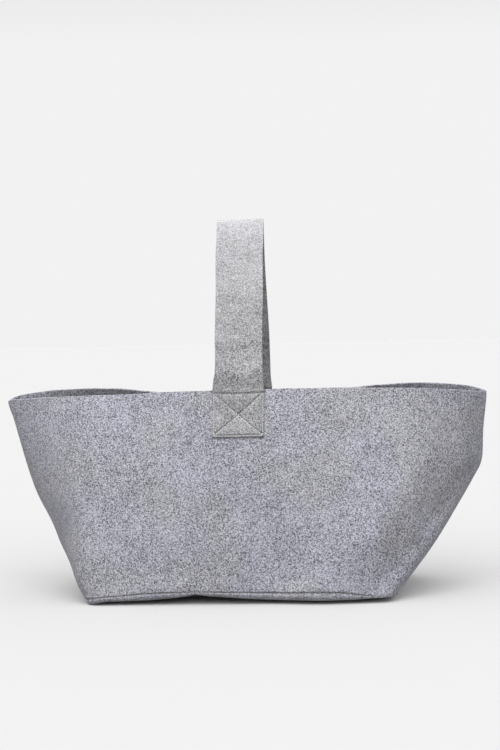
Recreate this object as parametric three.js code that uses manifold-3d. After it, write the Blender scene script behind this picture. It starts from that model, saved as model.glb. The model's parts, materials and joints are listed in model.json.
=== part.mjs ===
// Felt storage basket: a long felt wall sewn round a rounded base, pinched to a boat-shaped mouth,
// with one felt strap arching over it from the front wall to the back wall.
// Millimetres, +Z up. The origin is on the floor under the middle of the basket, +X runs along the
// mouth to the right end, and -Y faces the front.

import * as THREE from 'three';
import { mergeVertices } from 'three/addons/utils/BufferGeometryUtils.js';
import Module from 'manifold-3d';

const wasm = await Module();
wasm.setup();

// Felt and thread
const FELT = 3;
const THREAD = 0.9;
const CLEARANCE = 0.3;

// Base panel
const BASE_LENGTH = 390;
const BASE_DEPTH = 278;
const BASE_CORNER = 26;
const BASE_BEND = 6;
const FLANGE_HEIGHT = 15;

// Wall strip: its lower edge stands HEM above the floor, and its upper edge is the rim
const HEM = 7;
const TIP_REACH = 323.5;
const TIP_HEIGHT = 256;
const FRONT_RIM_REACH = 76;
const BACK_RIM_REACH = 53;
const RIM_FULLNESS = 0.85;
const FRONT_RIM_RISE = 15;
const BACK_RIM_RISE = 15;
const BACK_RIM_DIP = 11;
const BACK_DIP_SPREAD = 0.5;

// Ends: the left one bellies out, and the right one is folded flat below its fold point
const LEFT_BELLY = 28;
const BELLY_SPREAD = 0.75;
const BELLY_LOW = 0.6;
const FOLD_REACH = 316;
const FOLD_HEIGHT = 166;
const FOLD_SHARE = 0.67;

// Lapped seam that closes the strip, on the back half of the left end
const LAP_WIDTH = 18;
const LAP_FROM_END = 62;

// Handle strap
const STRAP_WIDTH = 60.5;
const STRAP_OFFSET = 0;
const SEWN_WIDTH = 65;
const SEWN_LENGTH = 61;
const BEND_ABOVE_RIM = 3;
const BEND_GAP = 0.5;
const LEG_LENGTH = 55;
const HANDLE_HEIGHT = 491;
const ARCH_POWER = 1.9;

// Seams: how far each row of stitches runs from the felt edge beside it
const SEAM_MARGIN = 4;
const BASE_SEAM_MARGIN = 4;

const rightAngle = Math.PI / 2;
const half = FELT / 2;
const layer = FELT + CLEARANCE;
const threadRadius = THREAD / 2;

const mix = (a, b, t) => a + (b - a) * t;
const clamp = (x, low, high) => Math.min(high, Math.max(low, x));
const smooth = (t) => t * t * (3 - 2 * t);

// The wall's middle surface. Round the basket, turn runs from 0 at the middle of the left end over
// 0.25 at the front and 0.5 at the right end to 0.75 at the back. rise runs from 0 at the wall's
// lower edge to 1 at the rim.

const outlineLength = BASE_LENGTH / 2 + half + CLEARANCE;
const outlineDepth = BASE_DEPTH / 2 + half + CLEARANCE;
const outlineCorner = BASE_CORNER + half + CLEARANCE;
const cornerArc = rightAngle * outlineCorner;
const endStraight = outlineDepth - outlineCorner;
const quarterLength = endStraight + cornerArc + outlineLength - outlineCorner;
const wallLength = 4 * quarterLength;
const cornerMiddle = (endStraight + cornerArc / 2) / quarterLength;

// One quarter of the base outline, from the middle of an end (0) to the middle of a side (1)
function outlineQuarter(t) {
  const along = t * quarterLength;
  if (along < endStraight) {
    return [outlineLength, along];
  }
  if (along < endStraight + cornerArc) {
    const angle = (along - endStraight) / outlineCorner;
    return [
      outlineLength - outlineCorner + outlineCorner * Math.cos(angle),
      endStraight + outlineCorner * Math.sin(angle),
    ];
  }
  return [quarterLength - along, outlineDepth];
}

// One quarter of the rim in plan, from a tip (0) to the middle of a side (1), by its length
function rimQuarter(reach) {
  const steps = 400;
  const points = [];
  for (let i = 0; i <= steps; i += 1) {
    const across = Math.cos((rightAngle * i) / steps);
    points.push([TIP_REACH * across, reach * (1 - across * across) ** RIM_FULLNESS]);
  }
  const lengths = [0];
  for (let i = 1; i <= steps; i += 1) {
    const dx = points[i][0] - points[i - 1][0];
    const dy = points[i][1] - points[i - 1][1];
    lengths.push(lengths[i - 1] + Math.hypot(dx, dy));
  }
  return (t) => {
    const target = t * lengths[steps];
    let i = 1;
    while (i < steps && lengths[i] < target) {
      i += 1;
    }
    const part = clamp((target - lengths[i - 1]) / (lengths[i] - lengths[i - 1]), 0, 1);
    return [mix(points[i - 1][0], points[i][0], part), mix(points[i - 1][1], points[i][1], part)];
  };
}

const frontRim = rimQuarter(FRONT_RIM_REACH);
const backRim = rimQuarter(BACK_RIM_REACH);

function rimHeight(front, across) {
  if (front) {
    return TIP_HEIGHT + FRONT_RIM_RISE * (1 - across ** 2);
  }
  const dip = BACK_RIM_DIP * Math.exp(-((across / BACK_DIP_SPREAD) ** 2));
  return TIP_HEIGHT + BACK_RIM_RISE * (1 - across ** 8) - dip;
}

function cutWall(turn, rise) {
  const quarter = Math.floor(turn * 4) % 4;
  const part = turn * 4 - Math.floor(turn * 4);
  const t = quarter % 2 === 0 ? part : 1 - part;
  const endSign = quarter === 0 || quarter === 3 ? -1 : 1;
  const front = quarter < 2;
  const sideSign = front ? -1 : 1;
  const [bx, by] = outlineQuarter(t);
  const [tx, ty] = front ? frontRim(t) : backRim(t);
  const low = new THREE.Vector3(endSign * bx, sideSign * by, HEM);
  const high = new THREE.Vector3(endSign * tx, sideSign * ty, rimHeight(front, tx / TIP_REACH));
  if (endSign < 0) {
    const weight = Math.cos(rightAngle * clamp(t / BELLY_SPREAD, 0, 1)) ** 2;
    const belly = LEFT_BELLY * Math.sin(Math.PI * rise ** BELLY_LOW) * weight;
    const point = low.clone().lerp(high, rise);
    point.x -= belly;
    return point;
  }
  const toFold = new THREE.Vector3(FOLD_REACH - outlineLength, 0, FOLD_HEIGHT - HEM);
  const share = clamp(1 - t / cornerMiddle, 0, 1);
  const crease = FOLD_SHARE * share;
  if (rise <= crease) {
    return low.addScaledVector(toFold, rise / FOLD_SHARE);
  }
  return low.addScaledVector(toFold, share).lerp(high, (rise - crease) / (1 - crease));
}

// The same surface on a fine grid, with its creases rounded as felt rounds them
const turnSteps = 160;
const riseSteps = 24;
const softPasses = 4;

function softWall() {
  let grid = [];
  for (let j = 0; j <= riseSteps; j += 1) {
    const row = [];
    for (let i = 0; i < turnSteps; i += 1) {
      row.push(cutWall(i / turnSteps, j / riseSteps));
    }
    grid.push(row);
  }
  for (let pass = 0; pass < softPasses; pass += 1) {
    grid = grid.map((row, j) => row.map((point, i) => {
      if (j === 0) {
        return point;
      }
      const left = row[(i + turnSteps - 1) % turnSteps];
      const right = row[(i + 1) % turnSteps];
      const eased = point.clone().multiplyScalar(2).add(left).add(right).multiplyScalar(0.25);
      if (j < riseSteps) {
        const below = grid[j - 1][i];
        const above = grid[j + 1][i];
        const middle = below.clone().add(above).multiplyScalar(0.5);
        eased.lerp(middle, 0.25);
      }
      return eased;
    }));
  }
  return grid;
}

const surface = softWall();

function wallPoint(turn, rise) {
  const u = ((turn % 1) + 1) % 1 * turnSteps;
  const i = Math.floor(u) % turnSteps;
  const next = (i + 1) % turnSteps;
  const v = clamp(rise, 0, 1) * riseSteps;
  const j = Math.min(Math.floor(v), riseSteps - 1);
  const low = surface[j][i].clone().lerp(surface[j][next], u - Math.floor(u));
  const high = surface[j + 1][i].clone().lerp(surface[j + 1][next], u - Math.floor(u));
  return low.lerp(high, v - j);
}

function wallNormal(turn, rise) {
  const du = 1 / turnSteps;
  const dv = 1 / riseSteps;
  const across = wallPoint(turn + du, rise).sub(wallPoint(turn - du, rise));
  const up = wallPoint(turn, clamp(rise + dv, 0, 1)).sub(wallPoint(turn, clamp(rise - dv, 0, 1)));
  return across.cross(up).normalize();
}

function offWall(turn, rise, distance) {
  return wallPoint(turn, rise).addScaledVector(wallNormal(turn, rise), distance);
}

const frontTurn = 0.25;
const backTurn = 0.75;
const wallHeight = (turn) => wallPoint(turn, 1).distanceTo(wallPoint(turn, 0));

// The strip starts under the lap and ends on top of it
const lapStart = 1 - LAP_FROM_END / wallLength;
const lapShare = LAP_WIDTH / wallLength;
const lapRamp = 12 / wallLength;

// How far the wall's own middle surface stands out at a turn past the start of the strip
function lapOffset(past) {
  return layer * smooth(clamp((past - (1 - lapRamp)) / lapRamp, 0, 1));
}

// Columns lie closer together round the two ends, where the felt turns
function columnTurns() {
  const quarter = [0, 0.025, 0.05, 0.075, 0.1, 0.14, 0.18, 0.22, 0.27, 0.32, 0.36, 0.4,
    0.44, 0.48, 0.53, 0.6, 0.7, 0.8, 0.9];
  const turns = [];
  for (let q = 0; q < 4; q += 1) {
    const parts = q % 2 === 0 ? quarter : quarter.map((t) => 1 - t).reverse();
    for (const part of parts) {
      turns.push((q + part) / 4);
    }
  }
  return turns;
}

const seamRise = BASE_SEAM_MARGIN / wallHeight(frontTurn);
const flangeRise = FLANGE_HEIGHT / wallHeight(frontTurn);
const rises = [0, seamRise, flangeRise, 0.15, 0.27, 0.39, 0.51, 0.61, 0.67, 0.74, 0.86, 1];

// A point off the wall's middle surface, straight between the two rows of the solid beside it
function faceAt(turn, rise, distance) {
  let j = 0;
  while (j < rises.length - 2 && rises[j + 1] < rise) {
    j += 1;
  }
  const part = (rise - rises[j]) / (rises[j + 1] - rises[j]);
  return offWall(turn, rises[j], distance).lerp(offWall(turn, rises[j + 1], distance), part);
}

const loopTurns = columnTurns();

function stripTurns() {
  const edges = [
    lapStart,
    lapStart + lapShare - SEAM_MARGIN / wallLength,
    lapStart + lapShare,
    lapStart + 1 - lapRamp,
    lapStart + 1 - lapRamp / 2,
  ];
  const all = loopTurns.map((turn) => (turn < lapStart ? turn + 1 : turn)).concat(edges);
  const spacing = 2 / wallLength;
  const sorted = all
    .filter((turn) => edges.includes(turn) || edges.every((edge) => Math.abs(edge - turn) > spacing))
    .sort((a, b) => a - b);
  const doubled = sorted.filter((turn) => turn <= lapStart + lapShare).map((turn) => turn + 1);
  return sorted.concat(doubled);
}

// Closed solids

function solid(vertices, faces) {
  const geometry = new THREE.BufferGeometry();
  geometry.setAttribute('position', new THREE.Float32BufferAttribute(vertices.flatMap((p) => [p.x, p.y, p.z]), 3));
  geometry.setIndex(faces.flat());
  geometry.computeVertexNormals();
  return geometry;
}

// A sheet with thickness from a grid of { point, normal, half } cells
function sheetSolid(grid) {
  const rows = grid.length;
  const columns = grid[0].length;
  const vertices = [];
  for (const side of [1, -1]) {
    for (const row of grid) {
      for (const cell of row) {
        vertices.push(cell.point.clone().addScaledVector(cell.normal, side * cell.half));
      }
    }
  }
  const at = (side, j, i) => side * rows * columns + j * columns + i;
  const faces = [];
  const quad = (a, b, c, d) => faces.push([a, b, c], [a, c, d]);
  for (let j = 0; j < rows - 1; j += 1) {
    for (let i = 0; i < columns - 1; i += 1) {
      quad(at(0, j, i), at(0, j, i + 1), at(0, j + 1, i + 1), at(0, j + 1, i));
      quad(at(1, j, i), at(1, j + 1, i), at(1, j + 1, i + 1), at(1, j, i + 1));
    }
  }
  for (let i = 0; i < columns - 1; i += 1) {
    quad(at(0, 0, i), at(1, 0, i), at(1, 0, i + 1), at(0, 0, i + 1));
    quad(at(0, rows - 1, i), at(0, rows - 1, i + 1), at(1, rows - 1, i + 1), at(1, rows - 1, i));
  }
  for (let j = 0; j < rows - 1; j += 1) {
    quad(at(0, j, 0), at(0, j + 1, 0), at(1, j + 1, 0), at(1, j, 0));
    quad(at(0, j, columns - 1), at(1, j, columns - 1), at(1, j + 1, columns - 1), at(0, j + 1, columns - 1));
  }
  return solid(vertices, faces);
}

// A closed skin through rings of equal count, from one centre point to another
function ringSolid(firstCentre, rings, lastCentre) {
  const count = rings[0].length;
  const vertices = [firstCentre, ...rings.flat(), lastCentre];
  const last = vertices.length - 1;
  const at = (r, i) => 1 + r * count + (i % count);
  const faces = [];
  for (let i = 0; i < count; i += 1) {
    faces.push([0, at(0, i + 1), at(0, i)]);
    faces.push([last, at(rings.length - 1, i), at(rings.length - 1, i + 1)]);
    for (let r = 0; r < rings.length - 1; r += 1) {
      faces.push([at(r, i), at(r, i + 1), at(r + 1, i + 1)]);
      faces.push([at(r, i), at(r + 1, i + 1), at(r + 1, i)]);
    }
  }
  return solid(vertices, faces);
}

// A thread along points { point, normal }, round in section, open with flat ends or closed
function threadSolid(path, closed = false) {
  const sides = 6;
  const count = path.length;
  const vertices = [];
  path.forEach(({ point, normal }, k) => {
    const before = path[closed ? (k + count - 1) % count : Math.max(k - 1, 0)].point;
    const after = path[closed ? (k + 1) % count : Math.min(k + 1, count - 1)].point;
    const along = after.clone().sub(before).normalize();
    const out = normal.clone().addScaledVector(along, -normal.dot(along)).normalize();
    const across = along.clone().cross(out);
    for (let i = 0; i < sides; i += 1) {
      const angle = (2 * Math.PI * (i + 0.5)) / sides;
      vertices.push(point.clone()
        .addScaledVector(out, threadRadius * Math.sin(angle))
        .addScaledVector(across, threadRadius * Math.cos(angle)));
    }
  });
  const faces = [];
  const spans = closed ? count : count - 1;
  for (let k = 0; k < spans; k += 1) {
    for (let i = 0; i < sides; i += 1) {
      const a = k * sides + i;
      const b = k * sides + ((i + 1) % sides);
      const c = ((k + 1) % count) * sides + ((i + 1) % sides);
      const d = ((k + 1) % count) * sides + i;
      faces.push([a, c, b], [a, d, c]);
    }
  }
  if (!closed) {
    const end = (count - 1) * sides;
    for (let i = 1; i < sides - 1; i += 1) {
      faces.push([0, i, i + 1], [end, end + i + 1, end + i]);
    }
  }
  return solid(vertices, faces);
}

function toManifold(geometry) {
  const bare = geometry.clone();
  bare.deleteAttribute('normal');
  const merged = mergeVertices(bare, 1e-4);
  return new wasm.Manifold(new wasm.Mesh({
    numProp: 3,
    vertProperties: new Float32Array(merged.attributes.position.array),
    triVerts: new Uint32Array(merged.index.array),
  }));
}

function fromManifold(body) {
  const mesh = body.getMesh();
  const geometry = new THREE.BufferGeometry();
  geometry.setAttribute('position', new THREE.Float32BufferAttribute(mesh.vertProperties, 3));
  geometry.setIndex([...mesh.triVerts]);
  geometry.computeVertexNormals();
  return geometry;
}

// Wall

function wallGeometry() {
  const turns = stripTurns();
  return sheetSolid(rises.map((rise) => turns.map((turn) => {
    const normal = wallNormal(turn, rise);
    const out = lapOffset(turn - lapStart);
    return { point: wallPoint(turn, rise).addScaledVector(normal, out), normal, half };
  })));
}

// Base: a flat floor, a bend, and a flange that follows the wall's inner face

function baseGeometry() {
  const ring = (place) => loopTurns.map(place);
  const inset = (distance, height) => ring((turn) => {
    const point = offWall(turn, 0, 0);
    const normal = wallNormal(turn, 0);
    normal.z = 0;
    normal.normalize();
    return new THREE.Vector3(point.x, point.y, height)
      .addScaledVector(normal, -(half + CLEARANCE + distance));
  });
  const flange = (rise, depth) => ring((turn) => offWall(turn, rise, -(half + CLEARANCE + depth)));
  const turnIn = BASE_BEND * (1 - Math.SQRT1_2);
  const rings = [
    inset(BASE_BEND, 0),
    inset(turnIn, turnIn),
    inset(0, BASE_BEND),
    flange(0, 0),
    flange(seamRise, 0),
    flange(flangeRise, 0),
    flange(flangeRise, FELT),
    flange(0, FELT),
    inset(FELT, BASE_BEND),
    inset(BASE_BEND, FELT),
  ];
  return ringSolid(new THREE.Vector3(0, 0, 0), rings, new THREE.Vector3(0, 0, FELT));
}

// Handle strap. Its ends lie sewn on the wall, its legs stand on the bend lines at the rim, and its
// arch stands on the bend lines at the top of the legs. At each bend line the two stretches of the
// strap meet in thinned edges.

const acrossTurn = (x) => x / wallLength;
const frontAt = (x) => frontTurn + acrossTurn(x);
const backAt = (x) => backTurn - acrossTurn(x);
const sewnOffset = half + CLEARANCE + half;

function bendLine(turn) {
  const point = offWall(turn, 1, sewnOffset);
  const up = wallPoint(turn, 1).sub(wallPoint(turn, 1 - 1 / riseSteps)).normalize();
  point.addScaledVector(up, BEND_ABOVE_RIM / up.z);
  return { y: point.y, z: wallPoint(turn, 1).z + BEND_ABOVE_RIM };
}

const frontBend = bendLine(frontAt(STRAP_OFFSET));
const backBend = bendLine(backAt(STRAP_OFFSET));
const bendGap = BEND_GAP / 2;

// A thinned edge of the strap, slim enough to fold: distances from the edge, each with its half thickness
const thinEdge = [[0, 0.07], [0.12, 0.2], [0.25, 0.35], [0.45, 0.5]]
  .map(([along, thick]) => [along * FELT, thick * FELT]);

// Sections of the strap along a path seen from the end, from one thinned edge to the other
function sectionFrom(points) {
  const lengths = [0];
  for (let i = 1; i < points.length; i += 1) {
    lengths.push(lengths[i - 1] + points[i].distanceTo(points[i - 1]));
  }
  const total = lengths[lengths.length - 1];
  const at = (along) => {
    let i = 1;
    while (i < points.length - 1 && lengths[i] < along) {
      i += 1;
    }
    const part = (along - lengths[i - 1]) / (lengths[i] - lengths[i - 1]);
    return points[i - 1].clone().lerp(points[i], part);
  };
  const stops = thinEdge.map(([along, thick]) => [bendGap + along, thick]);
  const inner = bendGap + FELT;
  lengths.filter((along) => along > inner && along < total - inner).forEach((along) => stops.push([along, half]));
  [...thinEdge].reverse().forEach(([along, thick]) => stops.push([total - bendGap - along, thick]));
  return stops.map(([along, thick]) => {
    const point = at(along);
    const ahead = at(Math.min(along + 0.5, total)).sub(at(Math.max(along - 0.5, 0))).normalize();
    return { point, normal: new THREE.Vector2(-ahead.y, ahead.x), half: thick };
  });
}

function strapStretch(points) {
  const edges = [STRAP_OFFSET - STRAP_WIDTH / 2, STRAP_OFFSET, STRAP_OFFSET + STRAP_WIDTH / 2];
  return sheetSolid(sectionFrom(points).map((stop) => edges.map((x) => ({
    point: new THREE.Vector3(x, stop.point.x, stop.point.y),
    normal: new THREE.Vector3(0, stop.normal.x, stop.normal.y),
    half: stop.half,
  }))));
}

function legGeometry(bend) {
  const points = [0, 1 / 3, 2 / 3, 1].map((t) => new THREE.Vector2(bend.y, bend.z + t * LEG_LENGTH));
  return strapStretch(points);
}

const archMiddle = (frontBend.y + backBend.y) / 2;
const archHalf = (backBend.y - frontBend.y) / 2;
const archTop = HANDLE_HEIGHT - half;

function archGeometry() {
  const steps = 10;
  const points = [];
  for (let i = -steps; i <= steps; i += 1) {
    const side = Math.sign(i) * (Math.abs(i) / steps) ** 1.4;
    const foot = (i < 0 ? frontBend.z : backBend.z) + LEG_LENGTH;
    points.push(new THREE.Vector2(archMiddle + archHalf * side, archTop - (archTop - foot) * Math.abs(side) ** ARCH_POWER));
  }
  return strapStretch(points);
}

// A sewn strap end follows the wall up to the rim and then rises to its bend line
function sewnEndGeometry(turnAt, bend, facing) {
  const drop = (distance, turn) => 1 - distance / wallHeight(turn);
  const columns = [-1, -0.5, 0, 0.5, 1];
  const rows = [SEWN_LENGTH, SEWN_LENGTH * 0.75, SEWN_LENGTH * 0.5, SEWN_LENGTH * 0.25, 2, 0];
  const grid = rows.map((distance) => columns.map((column) => {
    const x = STRAP_OFFSET + (column * (distance > 2 ? SEWN_WIDTH : STRAP_WIDTH)) / 2;
    const turn = turnAt(x);
    const rise = drop(distance, turn);
    return { point: offWall(turn, rise, sewnOffset), normal: wallNormal(turn, rise), half };
  }));
  [...thinEdge].reverse().forEach(([along, thick]) => {
    grid.push(columns.map((column) => ({
      point: new THREE.Vector3(STRAP_OFFSET + (column * STRAP_WIDTH) / 2, bend.y, bend.z - bendGap - along),
      normal: new THREE.Vector3(0, facing, 0),
      half: thick,
    })));
  });
  return sheetSolid(facing < 0 ? grid : grid.map((row) => [...row].reverse()));
}

// Stitching

const onFelt = half + CLEARANCE + threadRadius;

// The box and its cross, sewn through a strap end
function boxStitching(turnAt) {
  const lift = sewnOffset + onFelt;
  const side = SEWN_WIDTH / 2 - SEAM_MARGIN;
  const top = SEAM_MARGIN;
  const bottom = SEWN_LENGTH - SEAM_MARGIN;
  const place = (across, down, over) => {
    const turn = turnAt(STRAP_OFFSET + across);
    const rise = 1 - down / wallHeight(turn);
    return { point: offWall(turn, rise, lift + over), normal: wallNormal(turn, rise) };
  };
  const run = ([ax, ad], [bx, bd], steps, over) => {
    const points = [];
    for (let i = 0; i < steps; i += 1) {
      points.push(place(mix(ax, bx, i / steps), mix(ad, bd, i / steps), over));
    }
    return points;
  };
  const corners = [[-side, top], [side, top], [side, bottom], [-side, bottom]];
  const box = corners.flatMap((corner, k) => run(corner, corners[(k + 1) % 4], 4, 0));
  const cross = [[0, 2], [1, 3]].map(([from, to], k) => {
    const over = (THREAD * (k + 1)) / 4;
    const points = run(corners[from], corners[to], 6, over);
    points.push(place(...corners[to], over));
    return threadSolid(points);
  });
  const joined = cross.reduce((body, line) => body.add(toManifold(line)), toManifold(threadSolid(box, true)));
  return fromManifold(joined);
}

// The row that holds the wall to the base, all the way round, stepping over the lap
function baseSeam() {
  const step = 3 / wallLength;
  const turns = stripTurns().filter((turn) => turn > lapStart + lapShare + step && turn < lapStart + 1 + lapShare);
  const edge = lapStart + 1 + lapShare;
  const place = (turn, out) => ({
    point: offWall(turn, seamRise, out + onFelt),
    normal: wallNormal(turn, seamRise),
  });
  const path = turns.map((turn) => place(turn, lapOffset(turn - lapStart)));
  path.push(place(edge + (CLEARANCE + threadRadius) / wallLength, layer));
  path.unshift(place(edge - 1 + step, 0));
  return threadSolid(path, true);
}

// The row that closes the lap, from the wall's lower edge to the rim
function lapSeam() {
  const turn = lapStart + lapShare - SEAM_MARGIN / wallLength;
  const low = (2 * BASE_SEAM_MARGIN) / wallHeight(turn);
  const high = 1 - SEAM_MARGIN / wallHeight(turn);
  const stops = [low, ...rises.filter((rise) => rise > low && rise < high), high];
  return threadSolid(stops.map((rise) => ({
    point: faceAt(turn, rise, layer + onFelt),
    normal: wallNormal(turn, rise),
  })));
}

const felt = new THREE.MeshStandardMaterial({ color: 0xa2a2aa, roughness: 1, metalness: 0 });
const strapFelt = new THREE.MeshStandardMaterial({ color: 0xa6a6aa, roughness: 1, metalness: 0 });
const thread = new THREE.MeshStandardMaterial({ color: 0x8c8c92, roughness: 0.9, metalness: 0 });

const basket = new THREE.Group();

function piece(name, geometry, material) {
  const mesh = new THREE.Mesh(geometry, material);
  mesh.name = name;
  basket.add(mesh);
}

piece('wall', wallGeometry(), felt);
piece('base', baseGeometry(), felt);
piece('strap_front_end', sewnEndGeometry(frontAt, frontBend, -1), strapFelt);
piece('strap_front_leg', legGeometry(frontBend), strapFelt);
piece('strap_arch', archGeometry(), strapFelt);
piece('strap_back_leg', legGeometry(backBend), strapFelt);
piece('strap_back_end', sewnEndGeometry(backAt, backBend, 1), strapFelt);
piece('front_box_stitching', boxStitching(frontAt), thread);
piece('back_box_stitching', boxStitching(backAt), thread);
piece('base_stitching', baseSeam(), thread);
piece('lap_stitching', lapSeam(), thread);

export default basket;
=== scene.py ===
"""Felt storage basket: a felt wall sewn round a felt base, with one felt strap arching over its mouth.

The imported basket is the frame. This add-on dresses it with soft felt sheets, sewn threads and a
plain studio. Lengths are in metres. +X runs along the mouth to the right end, -Y faces the front
and +Z is up.
"""

import json
import math

import bpy
import numpy as np
from bpy.props import FloatProperty, FloatVectorProperty, PointerProperty
from bpy.types import Operator, Panel, PropertyGroup
from mathutils import Matrix, Vector


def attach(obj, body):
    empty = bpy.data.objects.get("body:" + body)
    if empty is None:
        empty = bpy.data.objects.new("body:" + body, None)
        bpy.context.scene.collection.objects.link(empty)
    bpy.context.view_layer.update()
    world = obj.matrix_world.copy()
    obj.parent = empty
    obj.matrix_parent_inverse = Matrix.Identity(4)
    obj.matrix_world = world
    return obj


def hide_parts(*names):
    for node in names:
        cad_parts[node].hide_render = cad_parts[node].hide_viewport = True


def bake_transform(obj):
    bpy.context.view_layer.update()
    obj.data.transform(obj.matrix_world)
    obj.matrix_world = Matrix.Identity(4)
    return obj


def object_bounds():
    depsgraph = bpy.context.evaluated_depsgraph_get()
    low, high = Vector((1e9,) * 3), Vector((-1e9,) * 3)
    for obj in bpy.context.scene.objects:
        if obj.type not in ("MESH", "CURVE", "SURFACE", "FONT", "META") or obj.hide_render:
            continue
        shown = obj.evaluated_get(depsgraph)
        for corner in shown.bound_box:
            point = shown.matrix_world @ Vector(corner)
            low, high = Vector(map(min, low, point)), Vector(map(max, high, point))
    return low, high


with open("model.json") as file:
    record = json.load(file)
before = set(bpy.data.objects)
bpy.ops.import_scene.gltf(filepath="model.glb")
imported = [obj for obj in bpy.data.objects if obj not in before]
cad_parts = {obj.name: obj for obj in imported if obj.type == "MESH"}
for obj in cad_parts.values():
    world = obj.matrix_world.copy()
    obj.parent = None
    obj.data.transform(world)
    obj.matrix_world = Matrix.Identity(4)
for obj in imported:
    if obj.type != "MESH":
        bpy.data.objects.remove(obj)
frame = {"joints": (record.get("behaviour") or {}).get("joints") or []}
cad_low, cad_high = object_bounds()

bl_info = {
    "name": "Felt Storage Basket",
    "version": (1, 0, 0),
    "blender": (4, 5, 0),
    "location": "View3D > Sidebar > Basket",
    "description": "Dresses the frame of a felt storage basket with felt, stitching and a studio",
    "category": "Object",
}

MM = 0.001
RIGHT_ANGLE = math.pi / 2

# Soft forms are given as hills, each its height, the place of its middle and its half width, or as
# slopes, each its start and the width over which it rises.

# Felt
FELT = 3 * MM
HALF = FELT / 2
CLEARANCE = 0.3 * MM
LAYER = FELT + CLEARANCE

# Base panel: its outline, its turned-up edge and the roll of that edge out under the wall
BASE_LENGTH = 390 * MM
BASE_DEPTH = 278 * MM
BASE_CORNER = 26 * MM
BASE_BEND = 6 * MM
FLANGE_HEIGHT = 15 * MM
BASE_INSET = HALF + CLEARANCE + BASE_BEND
BEND_ARC = (BASE_BEND - HALF) * RIGHT_ANGLE
TURNED_UP = BASE_BEND * (RIGHT_ANGLE - 1) + FLANGE_HEIGHT
ROLL_OUT = 2.5 * MM
ROLL_IN = 3.5 * MM
ROLL_SLANT = 0.8 * MM
ROLL_SHOULDER = 0.78
ROLL_SLOPE = (113 * MM, 22 * MM)

# Wall strip: its lower edge stands HEM above the floor, and its upper edge is the rim
HEM = 7 * MM
TIP_REACH = 323.5 * MM
TIP_HEIGHT = 256 * MM
FRONT_RIM_REACH = 76 * MM
BACK_RIM_REACH = 53 * MM
RIM_FULLNESS = 0.85

# Rim: its front sags left of the strap, and its back dips behind it. Places are shares of the
# tip's reach.
FRONT_RIM_RISE = 15.9 * MM
BACK_RIM_RISE = 13.4 * MM
BACK_RIM_SQUARENESS = 12
FRONT_SAG = (4.4 * MM, -0.185, 0.56)
BACK_DIP = (11 * MM, 0, 0.47)
FRONT_SMALL_DIPS = ((1.2 * MM, -0.48, 0.2), (1.8 * MM, 0.7, 0.17))
BACK_SMALL_DIP = (1.6 * MM, 0.73, 0.2)
TIP_RISE = 1.2 * MM
TIP_RISE_SLOPE = (0.94, 0.06)

# Ends: the left one bellies out, and the right one is folded flat below its fold point
LEFT_BELLY = 28 * MM
BELLY_SPREAD = 0.75
BELLY_LOW = 0.6
FOLD_REACH = 316 * MM
FOLD_HEIGHT = 166 * MM
FOLD_SHARE = 0.67

# How far the left end is drawn in and the right one spread out along X. Places are shares of the
# wall's height, and it fades out over END_FADE quarters of the loop.
END_FADE = 0.8
LEFT_TUCKS = ((5.1 * MM, 0.345, 0.115), (-2.805 * MM, 0.08, 0.07))
RIGHT_SPREADS = ((2.8 * MM, 0.28, 0.14), (-2.52 * MM, 0.82, 0.13), (-1.4 * MM, 0.595, 0.05))

# How far the tips point out and the left one droops, above POINT_FROM of the wall's height. Places
# are quarters of the loop from the tip.
POINT_FROM = 0.91
LEFT_POINT = (2.3 * MM, 0, 0.05)
LEFT_DROOP = (3.2 * MM, 0, 0.03)
RIGHT_POINT = (1.4 * MM, 0, 0.04)

# Softness of the walls. Places are quarters of the loop, past the right end's fold or from the left
# end, or shares of the wall's height where the name says up.
RIGHT_RIDGE = (8.5 * MM, 0.27, 0.12)
FOLD_RIDGE = (4.675 * MM, 0.12, 0.07)
FOLD_HOLLOW = (2.55 * MM, 0.07, 0.05)
FOLD_UP = (0.4, 0.25)
BACK_RIDGES = 0.5
LEFT_RIDGE = (2.2 * MM, 0.36, 0.15)
FRONT_BELLY = 4.2 * MM
BACK_BELLY = 0.6
BELLY_RISE = 0.75
HEM_PINCH = 0.9 * MM
HEM_CORNERS = ((3 * MM, 0.6, 0.25), (3 * MM, 1.4, 0.25))
HEM_PINCH_UP = (1, 0.1, 0.12)
HEM_HELD_UP = 0.08
RIM_LEAN = (2.5 * MM, 1.3, 0.2)
RIM_LEAN_UP = (0.5, 0.5)
PATCH_DENT = (2.2 * MM, 1, 0.09)
PATCH_DENT_UP = (1, 0.88, 0.075)

# Waves: shares of the whole, waves round the loop, their slant up the wall and their start. The
# wall's waves die out at its lower edge, and the rim's begin at RIM_WAVE_UP.
WALL_WAVES = ((0.5, 5, 2.6, 0.4), (0.3, 9, -5.1, 2.1), (0.2, 16, 7.3, 1.2))
WALL_WAVE_TOP = 0.8
WALL_WAVE_BREADTH = 0.7
RIM_WAVES = ((0.5, 7, 0, 0.9), (0.3, 17, 0, 2.2), (0.2, 31, 0, 0))
RIM_WAVE_UP = (0.6, 0.4)

# Lift of the wall's lower edge: its share at places along the front, that of the back, and how far
# up the wall it is felt
HEM_LIFT_AT = np.array([-195, -165, -125, -95, -50, 30, 80, 125, 150, 195]) * MM
HEM_LIFT_SHARE = (0.1, 0.45, 0.82, 1.0, 1.0, 0.9, 0.76, 0.74, 0.45, 0.3)
HEM_LIFT_BACK = 0.45
HEM_LIFT_UP = 0.4

# Lift of the base's edge along X: its swell, its sharp crease, and the slopes where its right end
# rises and its left corner lies down. The right end's rise and the back have a share of the lift.
EDGE_SWELL = (1, -45 * MM, 62 * MM)
CREASE_AT = -56 * MM
CREASE_WIDTH = 14 * MM
EDGE_RIGHT = (140 * MM, 40 * MM)
EDGE_LEFT = (-197 * MM, 30 * MM)
EDGE_LIFT_SHARE = 0.4

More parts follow.
